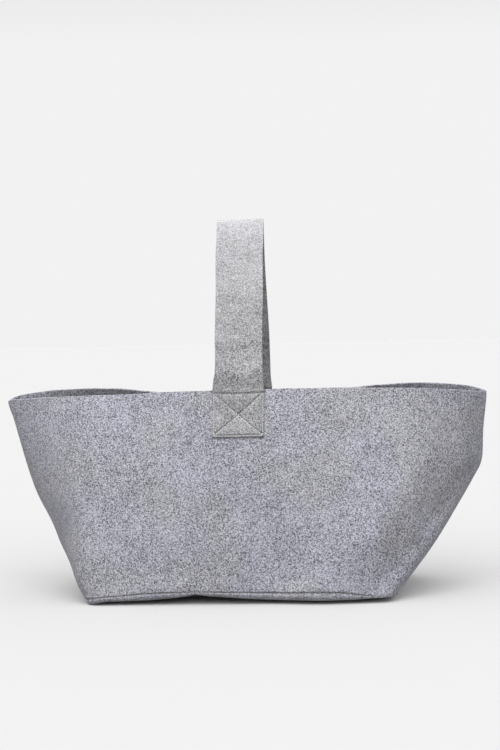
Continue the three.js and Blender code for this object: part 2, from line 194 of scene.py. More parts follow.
# How far in from its bend the base's outline has become straight, and the base lies flat
STRAIGHT_WITHIN = 60 * MM
LIFTED_WITHIN = 75 * MM

# Slope of both lifts towards a long side, out from the middle line
SIDE = (60 * MM, 70 * MM)

# Lapped seam that closes the wall, on the back half of the left end
LAP_WIDTH = 18 * MM
LAP_FROM_END = 62 * MM
LAP_RAMP = 12 * MM

# Handle strap: its sewn ends are a little wider, and the front one sits a little to the left
STRAP_WIDTH = 61.3 * MM
SEWN_WIDTH = 65 * MM
SEWN_LENGTH = 61 * MM
LEG_LENGTH = 55 * MM
ARCH_POWER = 1.9
BEND_GAP = 0.5 * MM
OPEN_BEND_REACH = 6 * MM
STRAP_FLARE = 21 * MM
FRONT_END_PLACE = -1.4 * MM
STRAP_BOW = (1.5 * MM, 434 * MM, 30 * MM)
BOW_DEPTH = 30 * MM

# The free strap: how soon it has its full twist, how its legs lean by their height, where above the
# bend it swells, and how much of that the back has
TWIST_HASTE = 1.15
LEAN_REACH = 45 * MM
LEAN_UP = (10 * MM, 36 * MM)
RIPPLE_AT = (14 * MM, 18 * MM)
RIPPLE_BACK = 0.2

# Relief of the sewn ends: the groove of a row of stitches and its share outside the rows, how far
# off a row the puff grows, how blunt the dish is, the slope from the free strap to the sewn end, and
# the felt's least thickness there
GROOVE_WIDTH = 1.1 * MM
EDGE_GROOVE = 0.6
PUFF_REACH = 6 * MM
DISH_BLUNT = 0.03
ON_WALL = (-3 * MM, 5 * MM)
LEAST_FELT = 0.6 * MM

# Seams: how far each row of stitches runs from the felt edge beside it, how far out its thread lies,
# and the points that follow its line. A stitch is its length, the gap after it and its thickness.
SEAM_MARGIN = 4 * MM
BOX_MARGIN = 1.9 * MM
THREAD_RISE = 0.05 * MM
BOX_STITCH = (2.6 * MM, 0.8 * MM, 0.6 * MM)
BASE_STITCH = (5.5 * MM, 3.5 * MM, 0.9 * MM)
LAP_STITCH = (3.4 * MM, 1.4 * MM, 0.75 * MM)
BOX_POINTS = 60
BASE_POINTS = 1400
LAP_POINTS = 200

# The row round the base: how far it stands out and down under the wall, and the shares of the loop
# that it leaves free after the lap and before it
BASE_ROW_OUT = 0.7 * MM
BASE_ROW_DOWN = 0.8 * MM
BASE_ROW_SHORT = (0.003, 0.001)


# Sizes and colours that a user would change


class BasketShape(PropertyGroup):
    wall_wave: FloatProperty(
        name="Wall wave",
        description="How far the soft wall stands in or out of its drawn shape",
        default=1.1 * MM,
        unit="LENGTH",
    )
    rim_wave: FloatProperty(
        name="Rim wave",
        description="How far the rim's height wanders",
        default=0.6 * MM,
        unit="LENGTH",
    )
    hem_lift: FloatProperty(
        name="Hem lift",
        description="How far the wall's lower edge lifts at the middle of the front",
        default=9.5 * MM,
        unit="LENGTH",
    )
    crease_lift: FloatProperty(
        name="Crease lift",
        description="How far the sharp crease across the base rises over the edge beside it",
        default=4.2 * MM,
        unit="LENGTH",
    )
    edge_lift: FloatProperty(
        name="Edge lift",
        description="How far the base's front edge stands off the floor beside the crease",
        default=4.6 * MM,
        unit="LENGTH",
    )
    puff: FloatProperty(
        name="Puff",
        description="How far the felt swells between the rows of the box stitching",
        default=0.9 * MM,
        unit="LENGTH",
    )
    dish: FloatProperty(
        name="Dish",
        description="How far the strap's sewn ends are drawn in where their stitches cross",
        default=1.0 * MM,
        unit="LENGTH",
    )
    press: FloatProperty(
        name="Press",
        description="How deep a row of stitches presses into the felt",
        default=1.3 * MM,
        unit="LENGTH",
    )
    strap_twist: FloatProperty(
        name="Strap twist",
        description="How far the top of the strap turns towards the viewer",
        default=math.radians(4.0),
        unit="ROTATION",
    )
    strap_lean: FloatProperty(
        name="Strap lean",
        description="How far the strap's legs lean towards each other above the rim",
        default=3.5 * MM,
        unit="LENGTH",
    )
    strap_ripple: FloatProperty(
        name="Strap ripple",
        description="How far the front of the strap swells out just above the rim",
        default=2.2 * MM,
        unit="LENGTH",
    )


class BasketFelt(PropertyGroup):
    light_fibre: FloatProperty(
        name="Light fibre",
        description="How pale the pale wool in the marl is",
        default=0.28,
        subtype="FACTOR",
    )
    dark_fibre: FloatProperty(
        name="Dark fibre",
        description="How pale the dark wool in the marl is",
        default=0.011,
        subtype="FACTOR",
    )
    tint: FloatVectorProperty(
        name="Tint",
        description="Cool tint of the wall's felt",
        default=(1.0, 1.006, 1.175),
        subtype="COLOR",
        max=2.0,
    )
    grain: FloatProperty(
        name="Grain",
        description="Size of the specks in the marl",
        default=1.8 * MM,
        unit="LENGTH",
    )
    thread_colour: FloatVectorProperty(
        name="Thread",
        description="Colour of the sewing thread",
        default=(0.38, 0.38, 0.39),
        subtype="COLOR",
    )


class BasketStudio(PropertyGroup):
    floor_colour: FloatVectorProperty(
        name="Floor",
        description="Colour of the floor",
        default=(0.787, 0.787, 0.787),
        subtype="COLOR",
    )
    horizon: FloatProperty(
        name="Horizon",
        description="Brightness of the studio behind the basket",
        default=0.888,
    )
    room: FloatProperty(
        name="Room",
        description="Brightness of the white room above its horizon",
        default=0.74,
    )
    window: FloatProperty(
        name="Window",
        description="Brightness of the room's window side, behind the viewer",
        default=2.8,
    )
    lamp: FloatProperty(
        name="Lamp",
        description="Power of the soft lamp over the basket",
        default=45.0,
        unit="POWER",
    )
    lamp_place: FloatVectorProperty(
        name="Lamp place",
        description="Where the soft lamp hangs",
        default=(-0.1, -0.5, 1.6),
        subtype="TRANSLATION",
    )
    lamp_size: FloatProperty(
        name="Lamp size",
        description="Width of the soft lamps",
        default=0.8,
        unit="LENGTH",
    )
    back_lamp: FloatProperty(
        name="Back lamp",
        description="Power of the soft lamp behind the basket",
        default=22.0,
        unit="POWER",
    )
    back_lamp_place: FloatVectorProperty(
        name="Back lamp place",
        description="Where the lamp behind the basket hangs",
        default=(0.15, 1.5, 0.75),
        subtype="TRANSLATION",
    )


# Curves and directions


def smooth(t):
    t = np.clip(t, 0, 1)
    return t * t * (3 - 2 * t)


def bump(value, middle, width):
    return np.exp(-(((value - middle) / width) ** 2))


def hills(value, *forms):
    """The sum of round hills."""
    return sum(height * bump(value, middle, width) for height, middle, width in forms)


def broad_hill(value, height, middle, width):
    return height * np.exp(-(((value - middle) / width) ** 4))


def slope(value, start, over):
    """0 up to start, 1 from over beyond it, and smooth between."""
    return smooth((value - start) / over)


def unit(vectors):
    return vectors / np.linalg.norm(vectors, axis=-1, keepdims=True)


def lengths_along(points):
    """The distance of each point from the first, along the line through all of them."""
    return np.concatenate([[0], np.cumsum(np.linalg.norm(np.diff(points, axis=0), axis=-1))])


def at_lengths(wanted, lengths, points):
    """Points of a line at the wanted lengths along it."""
    return np.stack([np.interp(wanted, lengths, column) for column in points.T], -1)


def between(grid, row, column, beside, up, across):
    """Points between the rows and columns of a grid, at shares up and across of its cells."""
    low = grid[row, column] * (1 - across) + grid[row, beside] * across
    high = grid[row + 1, column] * (1 - across) + grid[row + 1, beside] * across
    return low * (1 - up) + high * up


# The wall's middle surface. Round the basket, turn runs from 0 at the middle of the left end over
# 0.25 at the front and 0.5 at the right end to 0.75 at the back. rise runs from 0 at the wall's
# lower edge to 1 at the rim.

OUTLINE_LENGTH = BASE_LENGTH / 2 + HALF + CLEARANCE
OUTLINE_DEPTH = BASE_DEPTH / 2 + HALF + CLEARANCE
OUTLINE_CORNER = BASE_CORNER + HALF + CLEARANCE
CORNER_ARC = RIGHT_ANGLE * OUTLINE_CORNER
END_STRAIGHT = OUTLINE_DEPTH - OUTLINE_CORNER
QUARTER_LENGTH = END_STRAIGHT + CORNER_ARC + OUTLINE_LENGTH - OUTLINE_CORNER
WALL_LENGTH = 4 * QUARTER_LENGTH
CORNER_MIDDLE = (END_STRAIGHT + CORNER_ARC / 2) / QUARTER_LENGTH

LAP_START = 1 - LAP_FROM_END / WALL_LENGTH
LAP_SHARE = LAP_WIDTH / WALL_LENGTH

FRONT_TURN = 0.25
BACK_TURN = 0.75
TURN_CELLS = 400
RISE_CELLS = 84
SOFT_PASSES = 25
NORMAL_CELLS = 1.2
RIM_POINTS = 401


def outline_quarter(t):
    """One quarter of the base outline, from the middle of an end at 0 to the middle of a side at 1."""
    along = t * QUARTER_LENGTH
    angle = np.clip((along - END_STRAIGHT) / OUTLINE_CORNER, 0, RIGHT_ANGLE)
    x = OUTLINE_LENGTH - OUTLINE_CORNER * (1 - np.cos(angle))
    x = x - np.maximum(along - END_STRAIGHT - CORNER_ARC, 0)
    y = np.minimum(along, END_STRAIGHT) + OUTLINE_CORNER * np.sin(angle)
    return np.stack([x, y], -1)


def rim_quarter(reach, t):
    """One quarter of the rim in plan, from a tip at 0 to the middle of a side at 1, by its length."""
    across = np.cos(np.linspace(0, RIGHT_ANGLE, RIM_POINTS))
    line = np.stack([TIP_REACH * across, reach * (1 - across**2) ** RIM_FULLNESS], -1)
    lengths = lengths_along(line)
    return at_lengths(t * lengths[-1], lengths, line)


def rim_height(front, across):
    """The rim's height on its front or back, at a share of the tip's reach."""
    over_front = FRONT_RIM_RISE * (1 - across**2)
    over_front -= broad_hill(across, *FRONT_SAG) + hills(across, *FRONT_SMALL_DIPS)
    over_back = BACK_RIM_RISE * (1 - across**BACK_RIM_SQUARENESS)
    over_back -= broad_hill(across, *BACK_DIP) + hills(across, BACK_SMALL_DIP)
    tips = TIP_RISE * slope(np.abs(across), *TIP_RISE_SLOPE)
    return TIP_HEIGHT + np.where(front, over_front, over_back) + tips


def cut_wall(turn, rise):
    """The wall's middle surface with sharp creases."""
    quarter = np.floor(turn * 4).astype(int) % 4
    part = turn * 4 - np.floor(turn * 4)
    t = np.where(quarter % 2 == 0, part, 1 - part)
    end = np.where((quarter == 0) | (quarter == 3), -1, 1)
    front = quarter < 2
    sides = np.stack([end, np.where(front, -1, 1)], -1)
    outline = sides * outline_quarter(t)
    rims = rim_quarter(FRONT_RIM_REACH, t), rim_quarter(BACK_RIM_REACH, t)
    rim = sides * np.where(front[..., None], *rims)
    low = np.concatenate([outline, np.full_like(rise, HEM)[..., None]], -1)
    high = np.concatenate([rim, rim_height(front, rim[..., 0] / TIP_REACH)[..., None]], -1)
    up = rise[..., None]

    weight = np.cos(RIGHT_ANGLE * np.clip(t / BELLY_SPREAD, 0, 1)) ** 2
    left = low + (high - low) * up
    left[..., 0] -= LEFT_BELLY * np.sin(math.pi * rise**BELLY_LOW) * weight

    to_fold = np.array([FOLD_REACH - OUTLINE_LENGTH, 0, FOLD_HEIGHT - HEM])
    share = np.clip(1 - t / CORNER_MIDDLE, 0, 1)[..., None]
    crease = FOLD_SHARE * share
    below = low + to_fold * (up / FOLD_SHARE)
    corner = low + to_fold * share
    above = corner + (high - corner) * (up - crease) / (1 - crease)
    right = np.where(up <= crease, below, above)
    return np.where((end < 0)[..., None], left, right)


def quarters_from_left(turn):
    """Quarters of the loop from the left end, along either side: 1 at its middle, 2 at its end."""
    return 4 * np.abs((turn + 0.5) % 1 - 0.5)


def draw_ends(grid, turn, rise):
    """Draws the two ends in or out along X by their height, and carries their tips out to points."""
    from_left = quarters_from_left(turn)
    from_right = 2 - from_left
    left, right = (
        np.cos(RIGHT_ANGLE * np.clip(part / END_FADE, 0, 1)) ** 2 for part in (from_left, from_right)
    )
    near_rim = np.clip((rise - POINT_FROM) / (1 - POINT_FROM), 0, 1)
    grid[..., 0] += left * hills(rise, *LEFT_TUCKS) + right * hills(rise, *RIGHT_SPREADS)
    grid[..., 0] -= near_rim * hills(from_left, LEFT_POINT)
    grid[..., 0] += near_rim**3 * hills(from_right, RIGHT_POINT)
    grid[..., 2] -= near_rim * hills(from_left, LEFT_DROOP)


def swelling(turn, rise):
    """How far the walls swell: a low belly, a soft ridge before either end, and a pinch over the hem.

    The front's rim leans in right of the strap, and both walls are dented where the stitches cross.
    """
    part = quarters_from_left(turn)
    front = turn < 0.5
    past_fold = 2 - part - CORNER_MIDDLE * np.clip(1 - rise / FOLD_SHARE, 0, 1)
    above_fold = slope(rise, *FOLD_UP)
    ridges = hills(past_fold, RIGHT_RIDGE) + above_fold * hills(past_fold, FOLD_RIDGE)
    ridges -= (1 - above_fold) * hills(past_fold, FOLD_HOLLOW)
    side = np.sin(math.pi * part / 2) ** 2
    belly = FRONT_BELLY * side * np.sin(math.pi * rise**BELLY_RISE)
    pinch = side * (HEM_PINCH + hills(part, *HEM_CORNERS)) * hills(rise, HEM_PINCH_UP)
    swell = ridges * np.where(front, 1, BACK_RIDGES) + hills(part, LEFT_RIDGE)
    swell += belly * np.where(front, 1, BACK_BELLY) - pinch * smooth(rise / HEM_HELD_UP)
    swell -= np.where(front, hills(part, RIM_LEAN), 0) * slope(rise, *RIM_LEAN_UP)
    return swell - hills(part, PATCH_DENT) * hills(rise, PATCH_DENT_UP)


def waves(turn, rise, table):
    """Soft waves round the loop."""
    return sum(
        share * np.sin(2 * math.pi * count * turn + slant * rise + start)
        for share, count, slant, start in table
    )


def lower_edge_lift(x, y):
    """Height added to the wall's lower edge: most on the front, less at the back."""
    front, back = (np.interp(place, HEM_LIFT_AT, HEM_LIFT_SHARE) for place in (x, -x))
    lift = front * slope(-y, *SIDE) + HEM_LIFT_BACK * back * slope(y, *SIDE)
    return bpy.context.scene.basket_shape.hem_lift * lift


def soft_wall():
    """The wall's middle surface with its creases rounded, its soft waves and its lifted lower edge."""
    turn, rise = np.meshgrid(
        np.arange(TURN_CELLS) / TURN_CELLS, np.arange(RISE_CELLS + 1) / RISE_CELLS
    )
    grid = cut_wall(turn, rise)
    for _ in range(SOFT_PASSES):
        eased = (2 * grid + np.roll(grid, 1, 1) + np.roll(grid, -1, 1)) / 4
        middle = (grid[:-2] + grid[2:]) / 2
        eased[1:-1] = (eased[1:-1] + middle) / 2
        eased[0] = grid[0]
        grid = eased
    draw_ends(grid, turn, rise)
    shape = bpy.context.scene.basket_shape
    across = np.roll(grid, -1, 1) - np.roll(grid, 1, 1)
    normal = unit(np.cross(across, np.gradient(grid, axis=0)))
    fade = np.sin(math.pi * np.minimum(rise, WALL_WAVE_TOP)) ** WALL_WAVE_BREADTH
    wave = shape.wall_wave * fade * waves(turn, rise, WALL_WAVES)
    grid = grid + normal * (wave + swelling(turn, rise))[..., None]
    grid[..., 2] += shape.rim_wave * waves(turn, rise, RIM_WAVES) * slope(rise, *RIM_WAVE_UP)
    lift = lower_edge_lift(grid[0, :, 0], grid[0, :, 1])
    grid[..., 2] += lift[None, :] * (1 - smooth(rise / HEM_LIFT_UP))
    return grid


surface = None


def wall_point(turn, rise):
    """Points of the wall's middle surface."""
    turn, rise = np.broadcast_arrays(np.asarray(turn, float), np.asarray(rise, float))
    u = (turn % 1) * TURN_CELLS
    v = np.clip(rise, 0, 1) * RISE_CELLS
    column = np.floor(u).astype(int) % TURN_CELLS
    row = np.minimum(np.floor(v).astype(int), RISE_CELLS - 1)
    beside = (column + 1) % TURN_CELLS
    return between(surface, row, column, beside, (v - row)[..., None], (u - np.floor(u))[..., None])


def wall_normal(turn, rise):
    """Outward normals of the wall."""
    du = NORMAL_CELLS / TURN_CELLS
    dv = NORMAL_CELLS / RISE_CELLS
    across = wall_point(turn + du, rise) - wall_point(turn - du, rise)
    up = wall_point(turn, np.minimum(rise + dv, 1)) - wall_point(turn, np.maximum(rise - dv, 0))
    return unit(np.cross(across, up))


def off_wall(turn, rise, distance):
    """Points at a distance outside the wall's middle surface."""
    turn, rise, distance = np.broadcast_arrays(turn, rise, distance)
    return wall_point(turn, rise) + wall_normal(turn, rise) * distance[..., None]


def wall_height(turn):
    return float(np.linalg.norm(wall_point(turn, 1.0) - wall_point(turn, 0.0)))


def lap_offset(past):
    """How far the strip stands out, by its share of the loop: its end runs over its own start."""
    ramp = LAP_RAMP / WALL_LENGTH
    return LAYER * smooth((past - (1 - ramp)) / ramp)


# Sheets

# Distances of a sheet's first rows from its edge: where the edge is rounded later, where it is
# rounded by its own rows, where it is thinned at an open bend, and where it is a plain cut
BEVELLED = np.array([0, 1.4]) * MM
ROUNDED = np.array([0, 0.12, 0.4, 0.8, 1.3]) * MM
THINNED = np.array([0, 0.45, 1.0, 1.8]) * MM
PLAIN = np.array([0])

# Rows of the base panel's turned-up edge, and the cells of the panel and of the strap
TURNED_ROWS = np.concatenate([BEVELLED, np.arange(2.4, 25.4, 0.9) * MM])
BASE_CELL = 3.2 * MM
SEWN_CELL = 0.6 * MM
STRAP_CELL = 1.2 * MM

EDGE_BEVEL = 0.9 * MM
BEVEL_FROM = math.radians(55)
SMOOTH_UP_TO = math.radians(60)
EDGE_ROUND = 1.1 * MM
THIN_HALF = np.array([0.2, 0.6, 1.05, 1.5]) * MM


def cells(length, cell, first=BEVELLED, last=BEVELLED):
    """Distances across a sheet: the given rows at its two edges, and equal cells between."""
    end = length - last[::-1]
    count = max(2, round((end[0] - first[-1]) / cell))
    middle = np.linspace(first[-1], end[0], count + 1)
    return np.concatenate([first[:-1], middle, end[1:]])


def half_thickness(distance, edge):
    """Half the felt's thickness at a distance from an edge of that kind."""
    if edge is THINNED:
        return np.interp(distance, THINNED, THIN_HALF)
    if edge is ROUNDED:
        inside = EDGE_ROUND - np.minimum(distance, EDGE_ROUND)
        return HALF - EDGE_ROUND + np.sqrt(EDGE_ROUND**2 - inside**2)
    return np.full_like(distance, HALF)


def deselect():
    bpy.ops.object.select_all(action="DESELECT")


def pick(piece):
    deselect()
    piece.select_set(True)
    bpy.context.view_layer.objects.active = piece


def finish_with(piece, name, kind, **settings):
    """Gives a piece a modifier and applies it."""
    modifier = piece.modifiers.new(name, kind)
    for setting, value in settings.items():
        setattr(modifier, setting, value)
    bpy.ops.object.modifier_apply(modifier=modifier.name)


def cut_sheet(name, across, along):
    """A flat closed sheet of felt, cut from a grid: returns it with each vertex's place in the cut.

    across and along are the distances of its columns and rows. The outer face has face 1 and the
    inner one has face -1.
    """
    deselect()
    bpy.ops.mesh.primitive_grid_add(
        x_subdivisions=len(across) - 1, y_subdivisions=len(along) - 1, size=2
    )
    sheet = bpy.context.object
    sheet.name = name
    sheet.data.name = name
    finish_with(sheet, "Thickness", "SOLIDIFY", thickness=1, offset=-1)
    flat = np.empty(len(sheet.data.vertices) * 3)
    sheet.data.vertices.foreach_get("co", flat)
    flat = flat.reshape(-1, 3)
    i = np.rint((flat[:, 0] + 1) / 2 * (len(across) - 1)).astype(int)
    j = np.rint((flat[:, 1] + 1) / 2 * (len(along) - 1)).astype(int)
    face = np.where(flat[:, 2] > -0.5, 1.0, -1.0)
    corner = np.empty(len(sheet.data.loops), int)
    sheet.data.loops.foreach_get("vertex_index", corner)
    uv = np.stack([across[i], along[j]], -1)[corner]
    sheet.data.uv_layers.active.data.foreach_set("uv", uv.ravel())
    return sheet, i, j, face


def lay_sheet(sheet, points, edge=EDGE_BEVEL):
    """Bends a cut sheet to its points, turns its faces outwards and bevels its cut edges."""
    mesh = sheet.data
    mesh.vertices.foreach_set("co", np.ascontiguousarray(points, float).ravel())
    mesh.update()
    mesh.calc_loop_triangles()
    triangles = np.empty(len(mesh.loop_triangles) * 3, int)
    mesh.loop_triangles.foreach_get("vertices", triangles)
    a, b, c = (points[triangles.reshape(-1, 3)[:, k]] for k in range(3))
    if np.einsum("ij,ij->", a, np.cross(b, c)) < 0:
        mesh.flip_normals()
    pick(sheet)
    if edge:
        finish_with(
            sheet,
            "Soft edge",
            "BEVEL",
            width=edge,
            segments=3,
            limit_method="ANGLE",
            angle_limit=BEVEL_FROM,
            miter_outer="MITER_ARC",
        )
        bpy.ops.object.shade_smooth()
    else:
        bpy.ops.object.shade_smooth_by_angle(angle=SMOOTH_UP_TO)


# Materials


def new_material(name):
    material = bpy.data.materials.new(name)
    material.use_nodes = True
    tree = material.node_tree
    return material, tree, tree.nodes["Principled BSDF"]


def add_node(tree, kind, inputs, **settings):
    """Adds a node, feeds it plain values or other nodes' outputs, and returns its own outputs."""
    node = tree.nodes.new(kind)
    for setting, value in settings.items():
        setattr(node, setting, value)
    for name, value in inputs.items():
        if isinstance(value, bpy.types.NodeSocket):
            tree.links.new(value, node.inputs[name])
        else:
            node.inputs[name].default_value = value
    return node.outputs


def object_place(tree):
    return add_node(tree, "ShaderNodeTexCoord", {})["Object"]


def noise(tree, vector, size, texture):
    """A noise texture whose specks are about size across."""
    inputs = dict(zip(("Detail", "Roughness", "Distortion"), texture))
    return add_node(tree, "ShaderNodeTexNoise", inputs | {"Vector": vector, "Scale": 1 / size})["Fac"]


def spread(tree, value, low, high, to_low=0.0, to_high=1.0):
    """Maps a value's range onto another, clamped."""
    inputs = {"Value": value, "From Min": low, "From Max": high, "To Min": to_low, "To Max": to_high}
    return add_node(tree, "ShaderNodeMapRange", inputs)["Result"]


def math_node(tree, operation, *values):
    return add_node(tree, "ShaderNodeMath", dict(enumerate(values)), operation=operation)[0]


def mix_colour(tree, share, first, second):
    """Mixes two colours. The Mix node takes them at places 6 and 7 and gives the result at 2."""
    inputs = {0: share, 6: (*first, 1), 7: (*second, 1)}
    return add_node(tree, "ShaderNodeMix", inputs, data_type="RGBA")[2]


def roughen(tree, shader, height, strength, depth, roughness, specular):
    """Gives a shader its bump, its roughness and its specular level."""
    inputs = {"Height": height, "Strength": strength, "Distance": depth}
    tree.links.new(add_node(tree, "ShaderNodeBump", inputs)[0], shader.inputs["Normal"])
    shader.inputs["Roughness"].default_value = roughness
    shader.inputs["Specular IOR Level"].default_value = specular


# Kinds of noise: their detail, roughness and distortion
EVEN = (1, 0.5, 0)
BROKEN = (2, 0.6, 0)
SPECKLED = (2.5, 0.65, 0.4)
DRAWN = (1, 0.5, 0.6)

# Wool fibres: their directions, each a turn about Y and about Z, their size, and the range of their
# noise that shows
FIBRE_TURNS = ((0.3, 0.2), (1.35, -0.5), (-0.8, 0.4), (0.5, 1.5))
FIBRE_WIDTH = 0.45 * MM
FIBRE_LENGTH = 3.2 * MM
FIBRE_RANGE = (0.45, 0.7)

# What the marl is made of: shares of specks, of fibres and of fine specks, and the ranges of their
# noise. It is spread by its contrast about its middle.
SPECKS = 0.62
SPECK_RANGE = (0.38, 0.62)
FIBRES = 0.34
FINE_SPECKS = 0.22
FINE_SIZE = 0.42
FINE_RANGE = (0.35, 0.65)
MARL_MIDDLE = 0.6
CONTRAST = 1.3

# Clouds and wider banks that pale and darken the marl: their size, the range of their noise and how
# far they go
CLOUD_SIZE = 13 * MM
CLOUD_RANGE = (0.3, 0.7, -0.06, 0.06)
BANK_SIZE = 60 * MM
BANK_RANGE = (0.35, 0.65, -0.04, 0.04)

# The cool tint: its lowest and highest share, and the size and range of its patches
WALL_TINT = (0.55, 0.97)
STRAP_TINT = (0.18, 0.25)
TINT_SIZE = 95 * MM
TINT_RANGE = (0.42, 0.56)

# Heights over which the strap's marl changes, from low to high: its contrast softens, and its tone is
# painted paler towards the top, as painted light where the light from above falls more. Its tone also
# steps up at the rim, within RIM_SHADE of the lower height, so the sewn ends below it are painted
# shade.
STRAP_LIT_HEIGHTS = (0.27, 0.47)
HEIGHT_CONTRAST = (1.15, 0.55)
PAINTED_TOP_LIGHT = (-0.01, 0.09)
RIM_SHADE = 9 * MM
PAINTED_RIM_SHADE = (0.95, 1.09)

# Share of the fibres in the felt's relief
NAP_FIBRES = 0.6

# Thread: the size of its twist, and its darkest and lightest tones
TWIST_SIZE = 0.5 * MM
TWIST_TONES = (0.75, 1.3)


def fibres(tree, vector):
    """Streaks of wool lying in several directions."""
    streaks = None
    for about_y, about_z in FIBRE_TURNS:
        inputs = {"Vector": vector, "Rotation": (0, about_y, about_z)}
        turned = add_node(tree, "ShaderNodeVectorRotate", inputs, rotation_type="EULER_XYZ")[0]
        inputs = {"Vector": turned, "Scale": (FIBRE_WIDTH / FIBRE_LENGTH, 1, 1)}
        drawn_out = add_node(tree, "ShaderNodeMapping", inputs)[0]
        streak = spread(tree, noise(tree, drawn_out, FIBRE_WIDTH, DRAWN), *FIBRE_RANGE)
        streaks = streak if streaks is None else math_node(tree, "MAXIMUM", streaks, streak)
    return streaks


def felt_material(name, cool, lit_heights=None):
    """Marled wool felt: pale and dark specks, fine fibres, and soft clouds of a cooler grey.

    cool is the lowest and highest share of the tint. lit_heights is the height range over which the
    marl's contrast softens and its tone is painted paler as painted light from above, above a rim below
    which it is left darker as painted shade.
    """
    look = bpy.context.scene.basket_felt
    material, tree, shader = new_material(name)
    place = object_place(tree)
    specks = spread(tree, noise(tree, place, look.grain, SPECKLED), *SPECK_RANGE)
    streaks = fibres(tree, place)
    fine = spread(tree, noise(tree, place, FINE_SIZE * look.grain, EVEN), *FINE_RANGE)
    clouds = spread(tree, noise(tree, place, CLOUD_SIZE, BROKEN), *CLOUD_RANGE)
    banks = spread(tree, noise(tree, place, BANK_SIZE, EVEN), *BANK_RANGE)
    marl = math_node(tree, "MULTIPLY", specks, SPECKS)
    marl = math_node(tree, "MULTIPLY_ADD", streaks, FIBRES, marl)
    marl = math_node(tree, "MULTIPLY_ADD", fine, FINE_SPECKS, marl)
    contrast = CONTRAST
    painted_light = 1.0
    # Painted light: the tone rises above the rim and towards the top; below the rim it is painted
    # shade.
    if lit_heights:
        height = add_node(tree, "ShaderNodeSeparateXYZ", {0: place})["Z"]
        contrast = spread(tree, height, *lit_heights, *HEIGHT_CONTRAST)
        rim = spread(tree, height, lit_heights[0] - RIM_SHADE, lit_heights[0] + RIM_SHADE, *PAINTED_RIM_SHADE)
        painted_light = math_node(tree, "ADD", rim, spread(tree, height, *lit_heights, *PAINTED_TOP_LIGHT))
    marl = math_node(tree, "SUBTRACT", marl, MARL_MIDDLE)
    marl = math_node(tree, "MULTIPLY_ADD", marl, contrast, 0.5)
    marl = math_node(tree, "ADD", marl, math_node(tree, "ADD", clouds, banks))
    grey = spread(tree, marl, 0, 1, look.dark_fibre, look.light_fibre)
    grey = math_node(tree, "MULTIPLY", grey, painted_light)
    share = spread(tree, noise(tree, place, TINT_SIZE, EVEN), *TINT_RANGE, *cool)
    inputs = {0: mix_colour(tree, share, (1, 1, 1), look.tint), "Scale": grey}
    colour = add_node(tree, "ShaderNodeVectorMath", inputs, operation="SCALE")[0]
    tree.links.new(colour, shader.inputs["Base Color"])
    nap = math_node(tree, "MULTIPLY_ADD", streaks, NAP_FIBRES, specks)
    roughen(tree, shader, nap, strength=0.55, depth=0.35 * MM, roughness=0.95, specular=0.15)
    shader.inputs["Sheen Weight"].default_value = 0.15
    shader.inputs["Sheen Roughness"].default_value = 0.6
    return material


def thread_material(name, share=1.0):
    """Matte spun thread with a fine twist, in a share of the thread colour."""
    material, tree, shader = new_material(name)
    twist = noise(tree, object_place(tree), TWIST_SIZE, BROKEN)
    colour = bpy.context.scene.basket_felt.thread_colour
    dark, light = (tuple(tone * share * c for c in colour) for tone in TWIST_TONES)
    tree.links.new(mix_colour(tree, twist, dark, light), shader.inputs["Base Color"])
    roughen(tree, shader, twist, strength=0.4, depth=0.1 * MM, roughness=0.75, specular=0.3)
    return material


LIT = "lit_by_lamp"


def wear(piece, material):
    """Puts a piece in its material and in the light of the lamps."""
    bpy.data.collections[LIT].objects.link(piece)
    piece.data.materials.clear()
    piece.data.materials.append(material)


# Wall


class BASKET_OT_wall(Operator):
    """Bends the long felt strip round the base and pinches it to the boat-shaped mouth"""

    bl_idname = "basket.wall"
    bl_label = "Felt Wall"

    def execute(self, context):
        length = WALL_LENGTH + LAP_WIDTH
        height = wall_height(FRONT_TURN)
        across = cells(length, WALL_LENGTH / TURN_CELLS)
        along = cells(height, height / RISE_CELLS)
        wall, i, j, face = cut_sheet("felt_wall", across, along)
        past = across[i] / WALL_LENGTH
        distance = lap_offset(past) + face * HALF
        lay_sheet(wall, off_wall(LAP_START + past, along[j] / height, distance))
        wear(wall, felt_material("wall_felt", WALL_TINT))
        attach(wall, "basket")
        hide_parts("wall")
        return {"FINISHED"}


# Base


def base_outline(turn):
    """The base panel's outline in plan at its widest, under the wall's lower edge."""
    normal = wall_normal(turn, 0.0)
    normal[..., 2] = 0
    return wall_point(turn, 0.0), unit(normal)


def edge_lift(point):
    """How far the base's edge stands off the floor: its front, with its sharp crease, and its back."""
    shape = bpy.context.scene.basket_shape
    x, y = point[:, 0], point[:, 1]
    lift = shape.edge_lift * (1 + hills(x, EDGE_SWELL) + EDGE_LIFT_SHARE * slope(x, *EDGE_RIGHT))
    lift += shape.crease_lift * np.exp(-np.abs(x - CREASE_AT) / CREASE_WIDTH)
    lift *= slope(x, *EDGE_LEFT)
    return lift * (slope(-y, *SIDE) + EDGE_LIFT_SHARE * slope(y, *SIDE))


def rolled_edge(share, height, roll):
    """The base's middle line from the wall's lower edge to the floor, rolled out under the wall.

    roll is its share of the roll's reach. Returns distances out from the wall and above the floor,
    and the line's outward direction.
    """
    reach = ROLL_OUT * roll - ROLL_IN * (1 - roll)
    floor = np.full_like(height, HALF)
    start = np.stack([np.full_like(height, -LAYER), height], -1)
    under = np.stack([reach - ROLL_SLANT, ROLL_SHOULDER * height], -1)
    low = np.stack([reach, floor], -1)
    end = np.stack([np.full_like(height, -BASE_INSET), floor], -1)
    t = share[:, None]
    line = (1 - t) ** 3 * start + 3 * (1 - t) ** 2 * t * under + 3 * (1 - t) * t**2 * low + t**3 * end
    along = (1 - t) ** 2 * (under - start) + 2 * (1 - t) * t * (low - under) + t**2 * (end - low)
    return line, unit(np.stack([-along[:, 1], along[:, 0]], -1))


